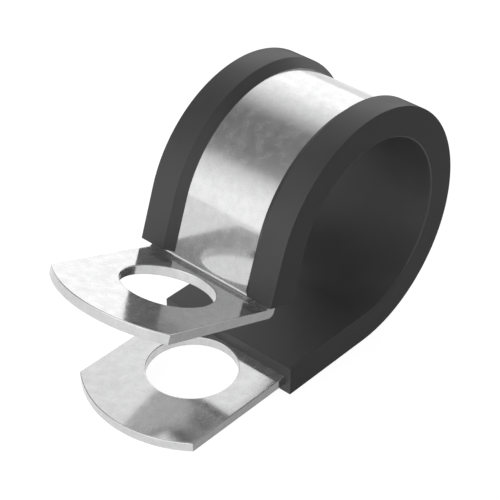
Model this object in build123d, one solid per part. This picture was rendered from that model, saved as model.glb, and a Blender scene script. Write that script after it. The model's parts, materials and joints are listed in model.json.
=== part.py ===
from build123d import *
from math import cos, radians, sin, tan
import os

# A rubber-lined P-clip, in millimetres. The axis of the tube that it holds runs along Y
# through the origin, the two tabs point towards -X and +Z is up. The width is centred on Y = 0.

# Steel band: one strip, stamped flat and bent
band_width = 15.0
band_thickness = 1.0
band_edge_radius = 0.12      # all sharp edges of the strip are broken this much

# Loop
bore_diameter = 19.7         # inside the rubber, with the clip as it comes
wrap_angle = 160.8           # where the loop ends, counted from +X over the top
upright_length = 6.0         # straight stretch from the loop's end to the fold's corner

# Fold between the upright and the upper tab
tab_tilt = 20.2              # the upper tab rises this many degrees towards its tip
fold_inside_radius = 0.45
fold_outside_radius = 0.6

# Tabs, whose two holes take one screw
hole_diameter = 9.0
lower_hole_reach = 15.95     # from the tube's axis to the lower hole
upper_hole_reach = 5.65      # from the fold's corner to the upper hole, along the tab
tip_reach = 10.3             # from a hole's centre to the tip of its tab
tip_radius = 12.0

# Rubber liner: one channel round the loop, whose lips grip the band's outer face
liner_wall = 1.3             # between the bore and the band
side_wall = 0.75             # over each edge of the band
lip_height = 0.85            # above the band's outer face
lip_width = 2.85             # flat top of a lip, from the side of the liner
lip_slope = 0.85             # sloped inner flank of a lip, measured across the band
liner_edge_radius = 0.2
liner_leg_length = 11.05     # from the tube's axis to the liner's end on the lower leg
liner_end_gap = 0.5          # from the liner's upper end to the fold's corner

band_inner_radius = bore_diameter / 2 + liner_wall
band_outer_radius = band_inner_radius + band_thickness
lip_radius = band_outer_radius + lip_height
liner_width = band_width + 2 * side_wall

side_view = Plane.XZ
cutter_reach = 4             # a tab's cutters are this many times its thickness deep and its width wide


def on_loop(radius, angle):
    """Point of the side view at a radius and an angle round the tube's axis."""
    return Vector(radius * cos(radians(angle)), radius * sin(radians(angle)))


def run_up():
    """Direction in which the band leaves the loop's upper end."""
    return Vector(-sin(radians(wrap_angle)), cos(radians(wrap_angle)))


def tab_run():
    """Direction of the upper tab, from its fold to its tip."""
    return Vector(-cos(radians(tab_tilt)), sin(radians(tab_tilt)))


def tab_up():
    """Direction that the upper tab's top face looks in."""
    return Vector(sin(radians(tab_tilt)), cos(radians(tab_tilt)))


def fold_corner():
    """Corner between the upright's outer face and the upper tab's top face, before rounding."""
    return on_loop(band_outer_radius, wrap_angle) + run_up() * upright_length


def fold_back():
    """Corner on the other side of the sheet, where its inner face meets the tab's underside."""
    turn = wrap_angle + 90 - (180 - tab_tilt)
    to_back = band_thickness * tan(radians(turn / 2))
    return fold_corner() - on_loop(band_thickness, wrap_angle) + run_up() * to_back


def band_outline():
    """Closed side view of the band, with tabs long enough for their tips to be cut."""
    lower_tip = -(lower_hole_reach + tip_reach)
    upper_length = upper_hole_reach + tip_reach
    start_inner = Vector(lower_tip, -band_inner_radius)
    start_outer = Vector(lower_tip, -band_outer_radius)
    tab_top = fold_corner() + tab_run() * upper_length
    tab_bottom = tab_top - tab_up() * band_thickness
    inner_end = on_loop(band_inner_radius, wrap_angle)
    outer_end = on_loop(band_outer_radius, wrap_angle)
    sides = [
        Line(start_inner, on_loop(band_inner_radius, -90)),
        CenterArc((0, 0), band_inner_radius, -90, wrap_angle + 90),
        Line(inner_end, fold_back()),
        Line(fold_back(), tab_bottom),
        Line(tab_bottom, tab_top),
        Line(tab_top, fold_corner()),
        Line(fold_corner(), outer_end),
        CenterArc((0, 0), band_outer_radius, -90, wrap_angle + 90),
        Line(on_loop(band_outer_radius, -90), start_outer),
        Line(start_outer, start_inner),
    ]
    return make_face(Curve() + sides)


def tab_tools(hole_plane):
    """Cutters of one tab, on a plane at its hole's centre whose X runs to the tip."""
    depth = cutter_reach * band_thickness
    width = cutter_reach * band_width
    arc_centre = tip_reach - tip_radius
    hole = Cylinder(hole_diameter / 2, depth)
    beyond = Pos(arc_centre, 0, 0) * Box(width, width, depth, align=(Align.MIN, Align.CENTER, Align.CENTER))
    rounded_tip = Pos(arc_centre, 0, 0) * Cylinder(tip_radius, depth)
    return hole_plane * (hole + (beyond - rounded_tip))


def lower_tab_plane():
    """Plane in the middle of the lower tab's sheet, at its hole."""
    middle = (band_inner_radius + band_outer_radius) / 2
    return Plane((-lower_hole_reach, 0, -middle), x_dir=(-1, 0, 0), z_dir=(0, 0, 1))


def upper_tab_plane():
    """Plane in the middle of the upper tab's sheet, at its hole."""
    centre = fold_corner() + tab_run() * upper_hole_reach - tab_up() * (band_thickness / 2)
    return Plane(
        (centre.X, 0, centre.Y),
        x_dir=(tab_run().X, 0, tab_run().Y),
        z_dir=(tab_up().X, 0, tab_up().Y),
    )


def rim_edges(band):
    """Edges round the strip's outline and its two holes, on both faces."""
    side_faces = band.faces().filter_by(Axis.Y)
    long_edges = side_faces.edges()
    round_edges = band.edges().filter_by(GeomType.CIRCLE)
    return ShapeList(set(long_edges) | set(round_edges))


def steel_band():
    """The bent strip with its two screw holes and rounded tab tips."""
    blank = extrude(side_view * band_outline(), band_width / 2, both=True)
    across = blank.edges().filter_by(Axis.Y)
    corner = fold_corner()
    back = fold_back()
    blank = fillet(across.sort_by_distance((corner.X, 0, corner.Y))[0], fold_inside_radius)
    across = blank.edges().filter_by(Axis.Y)
    blank = fillet(across.sort_by_distance((back.X, 0, back.Y))[0], fold_outside_radius)
    band = blank - tab_tools(lower_tab_plane()) - tab_tools(upper_tab_plane())
    return fillet(rim_edges(band), band_edge_radius)


def liner_section():
    """Cross-section of the channel: X across the band, Y outwards from the tube's axis."""
    half = liner_width / 2
    lip_inner = half - lip_width
    lip_foot = lip_inner - lip_slope
    bore = bore_diameter / 2
    channel = Polyline(
        (-half, bore),
        (half, bore),
        (half, lip_radius),
        (lip_inner, lip_radius),
        (lip_foot, band_outer_radius),
        (band_width / 2, band_outer_radius),
        (band_width / 2, band_inner_radius),
        (-band_width / 2, band_inner_radius),
        (-band_width / 2, band_outer_radius),
        (-lip_foot, band_outer_radius),
        (-lip_inner, lip_radius),
        (-half, lip_radius),
        close=True,
    )
    section = make_face(channel)
    levels = section.vertices().group_by(Axis.Y)
    return fillet(levels[0] + levels[-1], liner_edge_radius)


def liner_path():
    """Line along the bore: the lower leg, the loop, and the upright up to short of the fold."""
    bore = bore_diameter / 2
    loop_end = on_loop(bore, wrap_angle)
    leg = Line((-liner_leg_length, -bore), (0, -bore))
    loop = CenterArc((0, 0), bore, -90, wrap_angle + 90)
    upright = Line(loop_end, loop_end + run_up() * (upright_length - liner_end_gap))
    return side_view * (Curve() + [leg, loop, upright])


def rubber_liner():
    """The channel carried along its path from end to end."""
    start = Plane((-liner_leg_length, 0, 0), x_dir=(0, 1, 0), z_dir=(-1, 0, 0))
    return sweep(start * liner_section(), path=liner_path())


os.makedirs("parts", exist_ok=True)
export_step(steel_band(), "parts/steel_band.step")
export_step(rubber_liner(), "parts/rubber_liner.step")
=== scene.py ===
import json
import math

import bmesh
import bpy
import numpy as np
from mathutils import Matrix, Vector


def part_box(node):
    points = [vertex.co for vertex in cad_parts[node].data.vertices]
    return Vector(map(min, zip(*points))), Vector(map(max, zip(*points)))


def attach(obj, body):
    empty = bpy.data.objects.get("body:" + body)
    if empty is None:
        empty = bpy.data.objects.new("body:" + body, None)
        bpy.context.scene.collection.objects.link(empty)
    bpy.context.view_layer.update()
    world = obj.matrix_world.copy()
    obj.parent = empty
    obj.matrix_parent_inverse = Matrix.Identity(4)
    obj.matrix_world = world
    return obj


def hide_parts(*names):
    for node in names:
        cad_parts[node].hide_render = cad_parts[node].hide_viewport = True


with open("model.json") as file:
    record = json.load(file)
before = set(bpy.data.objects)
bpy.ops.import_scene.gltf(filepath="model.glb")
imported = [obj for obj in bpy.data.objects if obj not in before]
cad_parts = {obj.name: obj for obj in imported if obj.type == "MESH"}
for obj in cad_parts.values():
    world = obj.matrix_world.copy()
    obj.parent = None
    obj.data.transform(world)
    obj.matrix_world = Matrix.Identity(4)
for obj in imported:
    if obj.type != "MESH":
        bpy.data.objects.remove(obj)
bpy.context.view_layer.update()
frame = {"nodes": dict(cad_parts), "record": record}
print("stage: frame loaded, nodes", sorted(frame["nodes"]))

mm = 0.001
mounts = {mount["name"]: mount for mount in frame["record"]["mounts"]}
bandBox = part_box("steel_band")
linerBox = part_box("rubber_liner")

# the bent steel strip; what the frame gives is read from it
strip = {
    "outerRadius": -bandBox[0].z,
    "halfWidth": bandBox[1].y,
    "thickness": 1.0 * mm,
    "edgeRadius": 0.08 * mm,
    "edgeSteps": 4,
    "wrapAngle": math.radians(160.8),       # where the loop ends, from +X over the top
    "uprightLength": 6.0 * mm,              # from the loop's end to the fold's corner
    "tabTilt": math.atan2(mounts["upper_hole"]["axis"][0], mounts["upper_hole"]["axis"][2]),
    "foldInside": 0.40 * mm,
    "foldOutside": 0.6 * mm,
    "holeRadius": mounts["lower_hole"]["dims"]["r_mm"] * mm,
    "lowerHoleReach": -mounts["lower_hole"]["pos_m"][0],
    "upperHoleReach": 5.65 * mm,            # from the fold's corner, along the tab
    "tipReach": 10.3 * mm,                  # from a hole's centre to its tab's tip
    "tipRadius": 12.0 * mm,
    "lowerJoin": 6.5 * mm,                  # from a hole's centre back to where its tab meets the strip
    "upperJoin": 5.2 * mm,
    "guard": 0.02 * mm,                     # a narrow flat row beside each rounding keeps faces flat in shading
    "legSteps": 11,
    "loopSteps": 168,
    "uprightSteps": 8,
    "foldSteps": 16,
    "foldFlatSteps": 3,                     # flat steps at each end of the fold's wider bend, part of foldSteps
    "joinSteps": 2,
    "acrossSteps": 40,
    "sideSteps": 36,
    "tipSteps": 40,
    "faceSteps": 6,
}

# the rubber channel round the loop
liner = {
    "halfWidth": linerBox[1].y,
    "boreRadius": mounts["tube_clamp"]["dims"]["r_mm"] * mm,
    "lipRadius": -linerBox[0].z,
    "lipWidth": 2.85 * mm,
    "lipSlope": 0.85 * mm,
    "boreCorner": 0.2 * mm,
    "lipCorner": 0.08 * mm,
    "cornerSteps": 5,
    "legLength": 11.05 * mm,                # from the tube's axis to the cut end on the lower leg
    "endGap": 0.57 * mm,                    # from the upper cut end to the fold's corner
    "cutRadius": 0.03 * mm,                 # the knife leaves this small a rounding
    "cutSteps": 3,
    "loopSteps": 168,
    "legSteps": 10,
    "uprightSteps": 6,
    "sectionSteps": 6,
}

weldDistance = 0.002 * mm
smoothUpTo = math.radians(34)               # edges that turn more than this stay sharp


def gridFaces(rows, columns, firstPoint):
    # quads of a grid whose points are numbered row by row
    row, column = np.meshgrid(np.arange(rows - 1), np.arange(columns - 1), indexing="ij")
    corner = (firstPoint + row * columns + column).ravel()
    return np.stack([corner, corner + 1, corner + columns + 1, corner + columns], axis=1)


def meshFromGrids(name, grids, closeEnds=False):
    # each grid is points (rows x columns x 3) and surface map (rows x columns x 2); meeting borders are welded
    points, maps, faces, firstPoint = [], [], [], 0
    for grid, surfaceMap in grids:
        rows, columns = grid.shape[:2]
        faces.append(gridFaces(rows, columns, firstPoint))
        points.append(grid.reshape(-1, 3))
        maps.append(surfaceMap.reshape(-1, 2))
        firstPoint += rows * columns
    points, maps, faces = np.concatenate(points), np.concatenate(maps), np.concatenate(faces)
    mesh = bpy.data.meshes.new(name)
    mesh.from_pydata(points.tolist(), [], faces.tolist())
    corners = np.empty(len(mesh.loops), dtype=np.int32)
    mesh.loops.foreach_get("vertex_index", corners)
    layer = mesh.uv_layers.new(name="alongAcross")
    layer.data.foreach_set("uv", maps[corners].astype(np.float32).ravel())
    work = bmesh.new()
    work.from_mesh(mesh)
    bmesh.ops.remove_doubles(work, verts=work.verts, dist=weldDistance)
    if closeEnds:
        openEdges = [edge for edge in work.edges if edge.is_boundary]
        bmesh.ops.holes_fill(work, edges=openEdges, sides=0)
    bmesh.ops.recalc_face_normals(work, faces=work.faces)
    print("  ", name, len(work.faces), "faces, open edges", sum(edge.is_boundary for edge in work.edges))
    work.to_mesh(mesh)
    work.free()
    mesh.shade_smooth()
    mesh.set_sharp_from_angle(angle=smoothUpTo)
    return mesh


def addPiece(name, mesh, material, node):
    piece = bpy.data.objects.new(name, mesh)
    bpy.context.scene.collection.objects.link(piece)
    mesh.materials.append(material)
    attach(piece, "root")
    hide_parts(node)


def acrossFlat(s, half):
    # points across a flat face, with a guard row beside each of its edges
    middle = np.linspace(s["guard"] - half, half - s["guard"], s["acrossSteps"] - 1)
    return np.concatenate([[-half], middle, [half]])


def roundedEdge(s):
    # how far in from the outline, and how high, up a sheet's edge: quarter circle, wall, quarter circle
    angle = np.linspace(0, math.pi / 2, s["edgeSteps"] + 1)
    inset = np.append(s["edgeRadius"] * (1 - np.sin(angle)), 0)
    height = np.append(s["edgeRadius"] * (1 - np.cos(angle)), s["edgeRadius"] + s["guard"])
    return np.concatenate([inset, inset[::-1]]), np.concatenate([height, s["thickness"] - height[::-1]])


def direction(angle):
    return np.array([math.cos(angle), math.sin(angle)])


def onCircle(radius, angles):
    return radius * np.stack([np.cos(angles), np.sin(angles)], axis=1)


def along(start, step, distances):
    return start + np.outer(distances, step)


def runLength(points):
    # how far along a line of points each of them lies
    return np.append(0, np.cumsum(np.linalg.norm(np.diff(points, axis=0), axis=1)))


def bendOf(corner, runIn, outward, radius, turn, steps):
    # arc that rounds a corner and turns towards outward: start + radius ((1 - cos) outward + sin runIn)
    start = corner - runIn * radius * math.tan(turn / 2)
    angles = np.linspace(0, turn, steps + 1)
    return start + radius * (np.outer(1 - np.cos(angles), outward) + np.outer(np.sin(angles), runIn))


def stripLines(s):
    # the strip between its two tabs, seen from the side: matched points of its inner and its outer face
    innerRadius = s["outerRadius"] - s["thickness"]
    outward = direction(s["wrapAngle"])
    runUp = direction(s["wrapAngle"] + math.pi / 2)
    tabRun = direction(math.pi - s["tabTilt"])
    tabUp = direction(math.pi / 2 - s["tabTilt"])
    turn = s["wrapAngle"] + s["tabTilt"] - math.pi / 2
    foldCorner = outward * s["outerRadius"] + runUp * s["uprightLength"]
    foldBack = foldCorner - outward * s["thickness"] + runUp * s["thickness"] * math.tan(turn / 2)
    bendStart = s["foldInside"] * math.tan(turn / 2)
    joinRun = s["upperHoleReach"] - s["upperJoin"]
    guard, flatSteps = s["guard"], s["foldFlatSteps"]

    legX = np.linspace(s["lowerJoin"] - s["lowerHoleReach"], 0, s["legSteps"] + 1)
    loopAngles = np.linspace(-math.pi / 2, s["wrapAngle"], s["loopSteps"] + 1)[1:]
    uprightEnd = s["uprightLength"] - bendStart
    upright = np.append(np.linspace(0, uprightEnd - guard, s["uprightSteps"] + 1)[1:], uprightEnd)
    tabRuns = np.linspace(bendStart + guard, joinRun, s["joinSteps"] + 1)

    innerBend = bendOf(foldBack, runUp, outward, s["foldOutside"], turn, s["foldSteps"] - 2 * flatSteps - 2)
    bendFoot = innerRadius * outward + runUp * uprightEnd
    bendHead = foldCorner + tabRun * bendStart - tabUp * s["thickness"]
    lineIn = np.linspace(bendFoot, innerBend[0] - runUp * guard, flatSteps + 1)[1:]
    lineOut = np.linspace(innerBend[-1] + tabRun * guard, bendHead, flatSteps + 1)
    inner = np.concatenate([
        np.stack([legX, np.full_like(legX, -innerRadius)], axis=1),
        onCircle(innerRadius, loopAngles),
        along(innerRadius * outward, runUp, upright),
        lineIn, innerBend, lineOut,
        along(foldCorner - tabUp * s["thickness"], tabRun, tabRuns),
    ])
    outer = np.concatenate([
        np.stack([legX, np.full_like(legX, -s["outerRadius"])], axis=1),
        onCircle(s["outerRadius"], loopAngles),
        along(s["outerRadius"] * outward, runUp, upright),
        bendOf(foldCorner, runUp, outward, s["foldInside"], turn, s["foldSteps"])[1:],
        along(foldCorner, tabRun, tabRuns),
    ])
    return inner, outer


def tabOutline(s, inset, joinReach):
    # outline from the hole's centre, run and across: free rim of side, tip arc and side, then the join line
    half = s["halfWidth"] - inset
    radius = s["tipRadius"] - inset
    arcCentre = s["tipReach"] - s["tipRadius"]
    cornerAngle = math.asin(half / radius)
    sideRun = np.linspace(-joinReach, arcCentre + radius * math.cos(cornerAngle), s["sideSteps"] + 1)
    side = np.stack([sideRun, np.full_like(sideRun, half)], axis=1)
    tip = onCircle(radius, np.linspace(cornerAngle, -cornerAngle, s["tipSteps"] + 1))[1:-1] + [arcCentre, 0]
    joinAcross = acrossFlat(s, half)[1:-1]
    join = np.stack([np.full_like(joinAcross, -joinReach), joinAcross], axis=1)
    return np.concatenate([side, tip, side[::-1] * [1, -1]]), join


def tabGrids(s, origin, run, up, joinReach, mapStart, mapSign):
    # a tab as a ring round its hole: faces run from the hole's circle to the outline, walls go up both edges
    inset, height = roundedEdge(s)
    edge, guard = s["edgeRadius"], s["guard"]
    outlines = []
    for extra in (0, guard):
        rim, join = tabOutline(s, edge + extra, joinReach - extra)
        outlines.append(np.concatenate([rim, join, rim[:1]]))
    outline, inner = outlines
    angles = np.arctan2(outline[:, 1], outline[:, 0])
    circle = onCircle(s["holeRadius"] + edge + guard, angles)
    share = np.linspace(0, 1, s["faceSteps"] + 1)[:, None, None]
    middle = circle + share * (inner - circle)
    face = np.concatenate([onCircle(s["holeRadius"] + edge, angles)[None], middle, outline[None]])
    rimWall = np.stack([tabOutline(s, depth, joinReach)[0] for depth in inset])
    holeWall = np.stack([onCircle(s["holeRadius"] + depth, angles) for depth in inset])
    flat = np.zeros(face.shape[:2])

    def place(plan, heights):
        grid = origin + plan[..., :1] * run + plan[..., 1:] * [0, 1, 0] + heights[..., None] * up
        lengthwise = mapStart + mapSign * (plan[..., 0] + joinReach)
        return grid, np.stack([lengthwise, plan[..., 1]], axis=-1)

    return [
        place(face, flat),
        place(face, flat + s["thickness"]),
        place(rimWall, np.repeat(height[:, None], rimWall.shape[1], axis=1)),
        place(holeWall, np.repeat(height[:, None], holeWall.shape[1], axis=1)),
    ]


def stripGrid(s, inner, outer):
    # rounded flat section carried along the two lines: inner plus height share times (outer minus inner)
    inset, height = roundedEdge(s)
    flatAcross = acrossFlat(s, s["halfWidth"] - inset[0])
    edgeAcross = s["halfWidth"] - inset
    across = np.concatenate([flatAcross[:-1], edgeAcross, flatAcross[::-1][1:-1], -edgeAcross[::-1]])
    high = np.concatenate([
        np.zeros(s["acrossSteps"]), height, np.full(s["acrossSteps"] - 1, s["thickness"]), height[::-1],
    ])
    across, high = np.append(across, across[0]), np.append(high, high[0])
    share = (high / s["thickness"])[None, :, None]
    plan = inner[:, None, :] + share * (outer - inner)[:, None, :]
    grid = np.stack([plan[..., 0], np.broadcast_to(across, plan.shape[:2]), plan[..., 1]], axis=-1)
    length = runLength((inner + outer) / 2)
    surfaceMap = np.stack(np.broadcast_arrays(length[:, None], across[None, :]), axis=-1)
    return grid, surfaceMap, length[-1]


def stripMesh(s):
    inner, outer = stripLines(s)
    grid, surfaceMap, length = stripGrid(s, inner, outer)
    innerRadius = s["outerRadius"] - s["thickness"]
    tabRun = direction(math.pi - s["tabTilt"])
    tabUp = direction(math.pi / 2 - s["tabTilt"])
    upperHole = inner[-1] + tabRun * s["upperJoin"]
    lower = tabGrids(
        s, np.array([-s["lowerHoleReach"], 0, -innerRadius]), np.array([-1, 0, 0]), np.array([0, 0, -1]),
        s["lowerJoin"], 0, -1,
    )
    upper = tabGrids(
        s, np.array([upperHole[0], 0, upperHole[1]]), np.array([tabRun[0], 0, tabRun[1]]),
        np.array([tabUp[0], 0, tabUp[1]]), s["upperJoin"], length, 1,
    )
    return meshFromGrids("steelStrip", [(grid, surfaceMap)] + lower + upper)


def dividedSide(start, end, steps, guard):
    # points between the ends of a straight side, with a guard row beside each end
    first = guard / np.linalg.norm(end - start)
    share = np.linspace(first, 1 - first, steps - 1)
    return start + share[:, None] * (end - start)


def roundedLoop(corners, radii, arcSteps, lineSteps, guard):
    # closed outline with its corners rounded, each straight side divided evenly between guard rows
    corners = np.array(corners)
    outgoing = np.roll(corners, -1, axis=0) - corners
    outgoing /= np.linalg.norm(outgoing, axis=1)[:, None]
    pieces = []
    for corner, goIn, goOut, radius in zip(corners, np.roll(outgoing, 1, axis=0), outgoing, radii):
        turn = math.atan2(goIn[0] * goOut[1] - goIn[1] * goOut[0], goIn @ goOut)
        side = np.array([-goIn[1], goIn[0]]) * math.copysign(1, turn)
        pieces.append(bendOf(corner, goIn, side, radius, abs(turn), arcSteps) if radius else corner[None])
    sides = [dividedSide(a[-1], b[0], lineSteps, guard) for a, b in zip(pieces, pieces[1:] + pieces[:1])]
    return np.concatenate([part for pair in zip(pieces, sides) for part in pair])


def insetLoop(loop, depth):
    # closed outline moved inwards: point + depth (n1 + n2) / (1 + n1.n2), with n1 and n2 its sides' normals
    step = np.roll(loop, -1, axis=0) - loop
    normal = np.stack([-step[:, 1], step[:, 0]], axis=1) / np.linalg.norm(step, axis=1)[:, None]
    before = np.roll(normal, 1, axis=0)
    return loop + depth * (before + normal) / (1 + np.sum(before * normal, axis=1))[:, None]


def linerSection(c, s):
    # the channel's section, across and distance from the tube's axis, counter-clockwise from the bore's side
    half, lip = c["halfWidth"], c["lipRadius"]
    lipInner = half - c["lipWidth"]
    lipFoot = lipInner - c["lipSlope"]
    bandHalf, outer, inner = s["halfWidth"], s["outerRadius"], s["outerRadius"] - s["thickness"]
    right = [
        (half, c["boreRadius"], c["boreCorner"]), (half, lip, c["lipCorner"]), (lipInner, lip, c["lipCorner"]),
        (lipFoot, outer, 0), (bandHalf, outer, 0), (bandHalf, inner, 0),
    ]
    left = [(-across, out, radius) for across, out, radius in right[::-1]]
    corners = np.array(right + left)
    return roundedLoop(corners[:, :2], corners[:, 2], c["cornerSteps"], c["sectionSteps"], s["guard"])


def linerMesh(c, s):
    # the section carried along leg, loop and upright: the station's base + distance out x outward direction
    section = linerSection(c, s)
    outward = direction(s["wrapAngle"])
    runUp = direction(s["wrapAngle"] + math.pi / 2)
    cut = np.linspace(0, math.pi / 2, c["cutSteps"] + 1)
    cutDepth = c["cutRadius"] + s["guard"]
    cutInset = np.concatenate([[cutDepth], c["cutRadius"] * (1 - np.sin(cut)), [0]])
    cutAlong = np.concatenate([[0], c["cutRadius"] * (1 - np.cos(cut)), [cutDepth]])
    topEnd = s["uprightLength"] - c["endGap"]

    leg = np.linspace(cutDepth - c["legLength"], 0, c["legSteps"] + 1)
    legX = np.concatenate([cutAlong[:-1] - c["legLength"], leg])
    loopAngles = np.linspace(-math.pi / 2, s["wrapAngle"], c["loopSteps"] + 1)[1:-1]
    upright = np.linspace(0, topEnd - cutDepth, c["uprightSteps"] + 1)
    upright = np.concatenate([upright, topEnd - cutAlong[:-1][::-1]])
    base = np.concatenate([
        np.stack([legX, np.zeros_like(legX)], axis=1),
        np.zeros((len(loopAngles), 2)),
        np.outer(upright, runUp),
    ])
    out = np.concatenate([
        np.repeat([[0.0, -1.0]], len(legX), axis=0),
        onCircle(1, loopAngles),
        np.repeat([outward], len(upright), axis=0),
    ])
    depths = np.zeros(len(base))
    depths[:len(cutInset)] = cutInset
    depths[-len(cutInset):] = cutInset[::-1]

    sections = np.stack([insetLoop(section, depth) for depth in depths])
    sections = np.concatenate([sections, sections[:, :1]], axis=1)
    plan = base[:, None, :] + sections[..., 1:] * out[:, None, :]
    grid = np.stack([plan[..., 0], sections[..., 0], plan[..., 1]], axis=-1)
    pathLength = runLength(base + out * s["outerRadius"])
    girth = runLength(sections[len(cutInset)])
    surfaceMap = np.stack(np.broadcast_arrays(pathLength[:, None], girth[None, :]), axis=-1)
    return meshFromGrids("rubberChannel", [(grid, surfaceMap)], closeEnds=True)


def addNode(tree, kind, values=None, **settings):
    # one shader node; values go to its inputs by name or number, and a socket given as a value is linked
    node = tree.nodes.new(kind)
    for key, value in settings.items():
        setattr(node, key, value)
    for key, value in (values or {}).items():
        if isinstance(value, bpy.types.NodeSocket):
            tree.links.new(value, node.inputs[key])
        else:
            node.inputs[key].default_value = value
    return node


def newMaterial(name):
    material = bpy.data.materials.new(name)
    material.use_nodes = True
    tree = material.node_tree
    tree.nodes.clear()
    output = tree.nodes.new("ShaderNodeOutputMaterial")
    return material, tree, output


noiseRange = (0.3, 0.7)                     # nearly all of a noise pattern lies between these
sideStart, sideFull = 0.03 * mm, 0.01 * mm  # in from a piece's widest, where its flat side begins and is full


def spread(tree, value, low, high, fromRange=(0.0, 1.0)):
    # a value between two limits, from a pattern
    return addNode(tree, "ShaderNodeMapRange", {
        "Value": value, "From Min": fromRange[0], "From Max": fromRange[1], "To Min": low, "To Max": high,
    }).outputs["Result"]


def noise(tree, place, size=1.0, detail=2.0, roughness=0.5):
    return addNode(tree, "ShaderNodeTexNoise", {
        "Vector": place, "Scale": 1 / size, "Detail": detail, "Roughness": roughness,
    }).outputs["Fac"]


def drawnLines(tree, look, detail):
    # noise stretched along the piece
    surface = addNode(tree, "ShaderNodeUVMap", uv_map="alongAcross").outputs["UV"]
    stretched = addNode(tree, "ShaderNodeVectorMath", {
        0: surface, 1: (1 / look["lineLength"], 1 / look["lineWidth"], 1.0),
    }, operation="MULTIPLY").outputs["Vector"]
    return noise(tree, stretched, detail=detail)


def mixColours(tree, share, first, second):
    return addNode(tree, "ShaderNodeMix", {
        "Factor": share, "A": first, "B": second,
    }, data_type="RGBA").outputs["Result"]


def calculate(tree, operation, first, second=0.0):
    return addNode(tree, "ShaderNodeMath", {0: first, 1: second}, operation=operation).outputs[0]


def bumps(tree, layers):
    # each layer is a pattern and its depth, laid on the one before
    below = {}
    for pattern, depth in layers:
        bump = addNode(tree, "ShaderNodeBump", {"Height": pattern, "Distance": depth, "Strength": 1.0, **below})
        below = {"Normal": bump.outputs["Normal"]}
    return below["Normal"]


def sideShare(tree, place, halfWidth):
    # 1 on the flat faces at both sides of a piece, 0 on the rest of it
    across = addNode(tree, "ShaderNodeSeparateXYZ", {0: place}).outputs["Y"]
    across = calculate(tree, "ABSOLUTE", across)
    return spread(tree, across, 0.0, 1.0, (halfWidth - sideStart, halfWidth - sideFull))


def brightSteel():
    # zinc on rolled strip: near a mirror, with cloudy patches and faint drawing lines along the strip
    look = {
        "colour": 0.62, "colourSpread": 0.025,
        "blue": 1.005,                          # the zinc is this much bluer than grey
        "sideShadeColour": 0.30,                     # painted shade: the strip's flat sides get this darker colour, so their reflection of the bright floor reads darker
        "roughness": 0.10, "roughnessSpread": 0.05, "lineRoughness": 0.02,
        "haze": 0.22, "hazeSpread": 0.06,       # share of the light that the plating scatters all ways
        "wispSize": 1.0 * mm, "wispDetail": 3.0, "wispRange": (0.35, 0.65),
        "cloudSize": 0.9 * mm, "cloudRange": (0.35, 0.75),
        "grainSize": 0.16 * mm,
        "lineWidth": 0.09 * mm, "lineLength": 2.4 * mm, "lineDetail": 2.0,
        "cloudDepth": 0.0009 * mm, "grainDepth": 0.0001 * mm, "lineDepth": 0.00012 * mm,
    }
    material, tree, output = newMaterial("brightSteel")
    place = addNode(tree, "ShaderNodeTexCoord").outputs["Object"]
    clouds = noise(tree, place, look["cloudSize"])
    wisps = noise(tree, place, look["wispSize"], look["wispDetail"])
    grain = noise(tree, place, look["grainSize"])
    lines = drawnLines(tree, look, look["lineDetail"])

    low, high = look["colour"] - look["colourSpread"], look["colour"] + look["colourSpread"]
    tone = mixColours(
        tree, spread(tree, clouds, 0.0, 1.0, noiseRange),
        (low, low, low * look["blue"], 1), (high, high, high * look["blue"], 1),
    )
    sideShade = look["sideShadeColour"]
    # painted shade: the flat sides at the strip's edges are darkened, standing in for a darker reflection there
    tone = mixColours(tree, sideShare(tree, place, strip["halfWidth"]), tone, (sideShade, sideShade, sideShade, 1))
    smooth, dull = look["roughness"] - look["lineRoughness"], look["roughness"] + look["lineRoughness"]
    rough = calculate(
        tree, "ADD", spread(tree, clouds, 0.0, look["roughnessSpread"], look["cloudRange"]),
        spread(tree, lines, smooth, dull, noiseRange),
    )
    normal = bumps(tree, [
        (clouds, look["cloudDepth"]), (grain, look["grainDepth"]), (lines, look["lineDepth"]),
    ])
    mirror = addNode(tree, "ShaderNodeBsdfPrincipled", {
        "Base Color": tone, "Metallic": 1.0, "Roughness": rough, "Normal": normal,
    })
    haze = addNode(tree, "ShaderNodeBsdfPrincipled", {
        "Base Color": tone, "Roughness": 1.0, "Specular IOR Level": 0.0, "Normal": normal,
    })
    least, most = look["haze"] - look["hazeSpread"], look["haze"] + look["hazeSpread"]
    hazeShare = spread(tree, wisps, least, most, look["wispRange"])
    shader = addNode(tree, "ShaderNodeMixShader", {
        0: hazeShare, 1: mirror.outputs["BSDF"], 2: haze.outputs["BSDF"],
    })
    tree.links.new(shader.outputs[0], output.inputs["Surface"])
    return material


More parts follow.
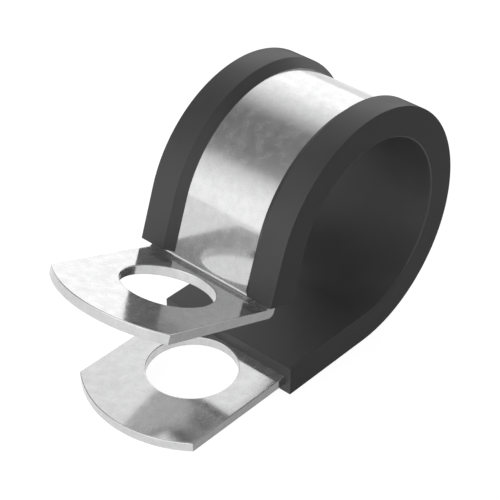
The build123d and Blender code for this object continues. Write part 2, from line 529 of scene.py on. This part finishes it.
def blackRubber():
    # matt extruded rubber: fine even grain, faint drag lines along the channel, a little bloom in patches
    look = {
        "colour": 0.057, "colourSpread": 0.004,
        "gloss": 0.33, "glancingGloss": 0.0,    # a rough skin loses its shine where it is seen edge on
        "glancing": (0.5, 0.95),
        "sideShine": 0.1,                       # the flat sides keep this share of the gloss
        "roughness": 0.46, "roughnessSpread": 0.05,
        "patchSize": 3.0 * mm, "patchDetail": 4.0,
        "grainSize": 0.10 * mm, "grainDetail": 3.0, "grainRoughness": 0.6,
        "lineWidth": 0.14 * mm, "lineLength": 9.0 * mm, "lineDetail": 1.0,
        "grainDepth": 0.0009 * mm, "lineDepth": 0.0005 * mm,
    }
    material, tree, output = newMaterial("blackRubber")
    place = addNode(tree, "ShaderNodeTexCoord").outputs["Object"]
    patches = noise(tree, place, look["patchSize"], look["patchDetail"])
    grain = noise(tree, place, look["grainSize"], look["grainDetail"], look["grainRoughness"])
    lines = drawnLines(tree, look, look["lineDetail"])

    low, high = look["colour"] - look["colourSpread"], look["colour"] + look["colourSpread"]
    tone = mixColours(
        tree, spread(tree, patches, 0.0, 1.0, noiseRange), (low, low, low, 1), (high, high, high, 1),
    )
    smooth, dull = look["roughness"] - look["roughnessSpread"], look["roughness"] + look["roughnessSpread"]
    rough = spread(tree, patches, smooth, dull, noiseRange)
    normal = bumps(tree, [(grain, look["grainDepth"]), (lines, look["lineDepth"])])
    facing = addNode(tree, "ShaderNodeLayerWeight", {"Blend": 0.5}).outputs["Facing"]
    gloss = calculate(
        tree, "MULTIPLY", spread(tree, facing, look["gloss"], look["glancingGloss"], look["glancing"]),
        spread(tree, sideShare(tree, place, liner["halfWidth"]), 1.0, look["sideShine"]),
    )
    shader = addNode(tree, "ShaderNodeBsdfPrincipled", {
        "Base Color": tone, "Roughness": rough, "Specular IOR Level": gloss, "Normal": normal,
    })
    tree.links.new(shader.outputs["BSDF"], output.inputs["Surface"])
    return material


# a dim studio with two big soft lights at the sides and weaker ones round them: where each light's middle is in
# degrees, its strength, and how that falls off with the degrees from its middle
softEdge = [(0, 1), (10, 0.93), (20, 0.75), (30, 0.5), (40, 0.25), (50, 0.07), (60, 0)]
narrowEdge = [(0, 1), (12, 0.8), (22, 0.4), (32, 0.1), (40, 0)]
studio = {
    "bigLights": [
        {"azimuth": 188, "elevation": 1, "strength": 1.658, "falloff": [
            (0, 1.13), (30, 1.09), (38, 0.9), (46, 0.79), (52, 0.59), (57, 0.42), (63, 0.07), (70, 0),
        ]},
        {"azimuth": 33, "elevation": 7, "strength": 1.447, "falloff": [
            (0, 1.12), (20, 1.08), (28, 0.91), (36, 0.68), (44, 0.5), (52, 0.23), (60, 0),
        ]},
    ],
    "weakLights": [
        {"azimuth": 180, "elevation": 45, "strength": 0.469, "falloff": softEdge},
        {"azimuth": 10, "elevation": 50, "strength": 0.425, "falloff": softEdge},
        {"azimuth": 60, "elevation": 80, "strength": 0.140, "falloff": softEdge},
        {"azimuth": -15, "elevation": 0, "strength": 0.918, "falloff": softEdge},
        {"azimuth": -60, "elevation": -30, "strength": 0.263, "falloff": softEdge},
        {"azimuth": 138, "elevation": -36, "strength": 0.144, "falloff": softEdge},
        {"azimuth": 110, "elevation": -14, "strength": 0.125, "falloff": narrowEdge},
    ],
}


def softLight(tree, towards, light):
    # the ramp holds 1 at most, so the brightest stop is taken out of it
    azimuth, elevation = math.radians(light["azimuth"]), math.radians(light["elevation"])
    flat = math.cos(elevation)
    middle = (math.cos(azimuth) * flat, math.sin(azimuth) * flat, math.sin(elevation))
    cosine = addNode(tree, "ShaderNodeVectorMath", {
        0: towards, 1: middle,
    }, operation="DOT_PRODUCT").outputs["Value"]
    falloff = light["falloff"]
    widest, brightest = falloff[-1][0], falloff[0][1]
    share = calculate(tree, "DIVIDE", calculate(tree, "ARCCOSINE", cosine), math.radians(widest))
    ramp = addNode(tree, "ShaderNodeValToRGB", {"Fac": share})
    stops = ramp.color_ramp.elements
    while len(stops) < len(falloff):
        stops.new(0.5)
    for stop, (degrees, strength) in zip(stops, falloff):
        stop.position = degrees / widest
        stop.color = (strength / brightest,) * 3 + (1,)
    return calculate(tree, "MULTIPLY", ramp.outputs["Color"], brightest * light["strength"])


def added(tree, values):
    total = values[0]
    for value in values[1:]:
        total = calculate(tree, "ADD", total, value)
    return total


def addStudio():
    world = bpy.data.worlds.new("studio")
    world.use_nodes = True
    bpy.context.scene.world = world
    tree = world.node_tree
    tree.nodes.clear()
    towards = addNode(tree, "ShaderNodeTexCoord").outputs["Generated"]
    lights = [softLight(tree, towards, light) for light in studio["bigLights"] + studio["weakLights"]]
    shine = addNode(tree, "ShaderNodeBackground", {"Color": (1, 1, 1, 1), "Strength": added(tree, lights)})
    output = tree.nodes.new("ShaderNodeOutputWorld")
    tree.links.new(shine.outputs[0], output.inputs["Surface"])


# pale floor that the clamp stands on with its lips
floorLook = {
    "size": 12.0,                           # reaches past the frame from low angles too
    "bounce": 0.75,                         # its colour as the clamp is lit by it
    "seenColour": 0.25,                     # the part of its seen brightness that shadows can take away
    "seenGlow": 0.9,
    "seeingRays": ("Is Camera Ray", "Is Glossy Ray", "Is Transmission Ray"),
}


def addFloor():
    half = floorLook["size"] / 2
    level = linerBox[0].z
    corners = [(-half, -half, level), (half, -half, level), (half, half, level), (-half, half, level)]
    mesh = bpy.data.meshes.new("floor")
    mesh.from_pydata(corners, [], [(0, 1, 2, 3)])
    material, tree, output = newMaterial("paleFloor")
    path = addNode(tree, "ShaderNodeLightPath")
    plain = addNode(tree, "ShaderNodeBsdfDiffuse", {"Color": (floorLook["bounce"],) * 3 + (1,)})
    shaded = addNode(tree, "ShaderNodeBsdfDiffuse", {"Color": (floorLook["seenColour"],) * 3 + (1,)})
    glow = addNode(tree, "ShaderNodeEmission", {"Strength": floorLook["seenGlow"]})
    seen = addNode(tree, "ShaderNodeAddShader", {0: shaded.outputs[0], 1: glow.outputs[0]})
    seeing = added(tree, [path.outputs[ray] for ray in floorLook["seeingRays"]])
    mix = addNode(tree, "ShaderNodeMixShader", {0: seeing, 1: plain.outputs[0], 2: seen.outputs[0]})
    tree.links.new(mix.outputs[0], output.inputs["Surface"])
    mesh.materials.append(material)
    floor = bpy.data.objects.new("floor", mesh)
    bpy.context.scene.collection.objects.link(floor)


# where the photograph was taken from
view = {
    "azimuth": math.radians(-47.798),
    "elevation": math.radians(36.165),
    "distance": 158.026 * mm,
    "aim": Vector((-5.535, 1.940, -3.827)) * mm,
    "lens": 116.33,
    "sensor": 36.0,
    "clipStart": 1 * mm,
}


def addCamera():
    azimuth, elevation = view["azimuth"], view["elevation"]
    flat = math.cos(elevation)
    back = Vector((math.sin(azimuth) * flat, -math.cos(azimuth) * flat, math.sin(elevation)))
    right = Vector((math.cos(azimuth), math.sin(azimuth), 0))
    up = back.cross(right)
    lens = bpy.data.cameras.new("camera")
    lens.lens = view["lens"]
    lens.sensor_width = view["sensor"]
    lens.clip_start = view["clipStart"]
    camera = bpy.data.objects.new("camera", lens)
    turned = Matrix((right, up, back)).transposed().to_4x4()
    camera.matrix_world = Matrix.Translation(view["aim"] + back * view["distance"]) @ turned
    bpy.context.scene.collection.objects.link(camera)
    bpy.context.scene.camera = camera


bpy.context.scene.view_settings.view_transform = "Standard"
addCamera()
addStudio()
addFloor()
print("stage: camera, studio and floor")

addPiece("bentStrip", stripMesh(strip), brightSteel(), "steel_band")
print("stage: steel strip")
addPiece("rubberChannel", linerMesh(liner, strip), blackRubber(), "rubber_liner")
print("stage: rubber channel")
